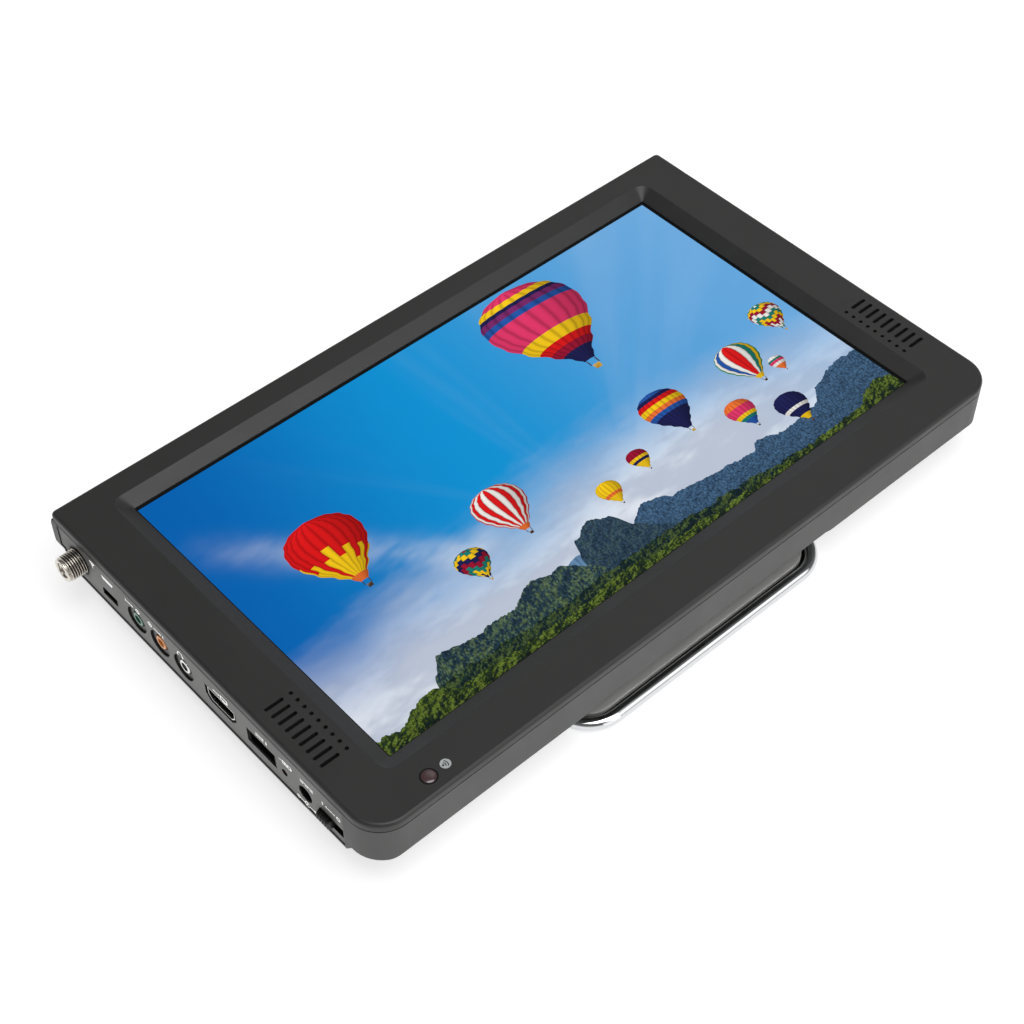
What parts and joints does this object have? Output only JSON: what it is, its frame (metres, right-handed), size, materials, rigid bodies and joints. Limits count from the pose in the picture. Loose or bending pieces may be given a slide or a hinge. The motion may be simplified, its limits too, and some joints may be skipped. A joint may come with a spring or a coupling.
{
  "type": "portable television",
  "caption": "Flat-screen portable television on its back: bezel, rear cover, side port plate, inside electronics, slide switch, side keys and a folding chrome stand.",
  "frame": {"origin": "on the plane the set rests on when it lies on its back, under the centre of the front face", "axes": "+X viewer's right, +Y top of the picture, +Z out of the screen"},
  "size_m": [0.3136, 0.1887, 0.0349],
  "materials": {
    "bezel_plastic": "fine charcoal grain",
    "cover_plastic": "fine charcoal grain",
    "plate_plastic": "grey satin, white printed marks",
    "screen_glass": "lit picture under a smooth polariser",
    "backlight": "white sheets",
    "steel": "pressed sheet",
    "screw_steel": "black zinc",
    "board": "green solder mask",
    "chips": "moulded epoxy",
    "heat_sink": "anodised",
    "nickel": "warm nickel plate",
    "insulator": "ivory",
    "gold": "gold plate",
    "green_collar": "green moulding",
    "orange_collar": "orange moulding",
    "silver_collar": "bright nickel",
    "black_plastic": "moulded",
    "lamp": "clear pinkish lens",
    "ir_plastic": "dark red window",
    "paper": "pressed paper",
    "magnet": "plated",
    "cell_wrap": "shrink sleeve",
    "tray_plastic": "moulded",
    "lead_red": "soft cover",
    "lead_black": "soft cover",
    "ribbon": "film",
    "chrome": "polished",
    "stand_plastic": "fine grain",
    "key_plastic": "satin"
  },
  "bodies": {
    "television": {"front_bezel": "bezel_plastic", "rear_cover": "cover_plastic", "port_plate": "plate_plastic", "case_screws": "screw_steel", "lcd_glass": "screen_glass", "backlight_stack": "backlight", "panel_tray": "steel", "panel_clips": "steel", "panel_screws": "screw_steel", "main_board": "board", "board_screws": "screw_steel", "board_chips": "chips", "heat_sink": "heat_sink", "tuner_can": "steel", "coax_socket": "nickel", "coax_insulator": "insulator", "coax_contact": "gold", "jack_collar_green": "green_collar", "jack_collar_orange": "orange_collar", "headphone_collar": "silver_collar", "jack_housings": "black_plastic", "slot_socket_shell": "steel", "slot_socket_tongue": "black_plastic", "video_socket_shell": "steel", "video_socket_tongue": "black_plastic", "data_socket_shell": "steel", "data_socket_tongue": "black_plastic", "charge_lamp": "lamp", "power_jack": "black_plastic", "power_jack_pin": "nickel", "switch_body": "steel", "ir_window": "ir_plastic", "ir_receiver": "black_plastic", "speaker_frames": "black_plastic", "speaker_cones": "paper", "speaker_magnets": "magnet", "battery_cells": "cell_wrap", "battery_tray": "tray_plastic", "battery_screws": "screw_steel", "battery_leads": "lead_red", "speaker_leads": "lead_black", "panel_ribbon": "ribbon", "key_ribbon": "ribbon", "key_board": "board", "key_switches": "steel", "hinge_bracket_left": "cover_plastic", "hinge_bracket_right": "cover_plastic", "bracket_screws": "screw_steel"},
    "stand": {"stand_loop": "chrome", "stand_plate": "stand_plastic", "hinge_pins": "steel", "friction_washers": "steel"},
    "switch_knob": {"switch_knob": "black_plastic"},
    "key_volume_down": {"key_volume_down": "key_plastic"},
    "key_volume_up": {"key_volume_up": "key_plastic"},
    "key_channel_down": {"key_channel_down": "key_plastic"},
    "key_channel_up": {"key_channel_up": "key_plastic"},
    "key_menu": {"key_menu": "key_plastic"},
    "key_source": {"key_source": "key_plastic"},
    "key_standby": {"key_standby": "key_plastic"}
  },
  "joints": [
    {"name": "stand_hinge", "type": "hinge", "parent": "television", "child": "stand", "pos_m": [0, -0.021, 0.0028], "axis": [1, 0, 0], "range_deg": [0, 60]},
    {"name": "switch_slide", "type": "slide", "parent": "television", "child": "switch_knob", "axis": [0, -1, 0], "range_m": [0, 0.005]},
    {"name": "key_volume_down_press", "type": "slide", "parent": "television", "child": "key_volume_down", "axis": [-1, 0, 0], "range_m": [0, 0.0005], "stiffness_N_per_m": 100},
    {"name": "key_volume_up_press", "type": "slide", "parent": "television", "child": "key_volume_up", "axis": [-1, 0, 0], "range_m": [0, 0.0005], "stiffness_N_per_m": 100},
    {"name": "key_channel_down_press", "type": "slide", "parent": "television", "child": "key_channel_down", "axis": [-1, 0, 0], "range_m": [0, 0.0005], "stiffness_N_per_m": 100},
    {"name": "key_channel_up_press", "type": "slide", "parent": "television", "child": "key_channel_up", "axis": [-1, 0, 0], "range_m": [0, 0.0005], "stiffness_N_per_m": 100},
    {"name": "key_menu_press", "type": "slide", "parent": "television", "child": "key_menu", "axis": [-1, 0, 0], "range_m": [0, 0.0005], "stiffness_N_per_m": 100},
    {"name": "key_source_press", "type": "slide", "parent": "television", "child": "key_source", "axis": [-1, 0, 0], "range_m": [0, 0.0005], "stiffness_N_per_m": 100},
    {"name": "key_standby_press", "type": "slide", "parent": "television", "child": "key_standby", "axis": [-1, 0, 0], "range_m": [0, 0.0005], "stiffness_N_per_m": 100}
  ]
}
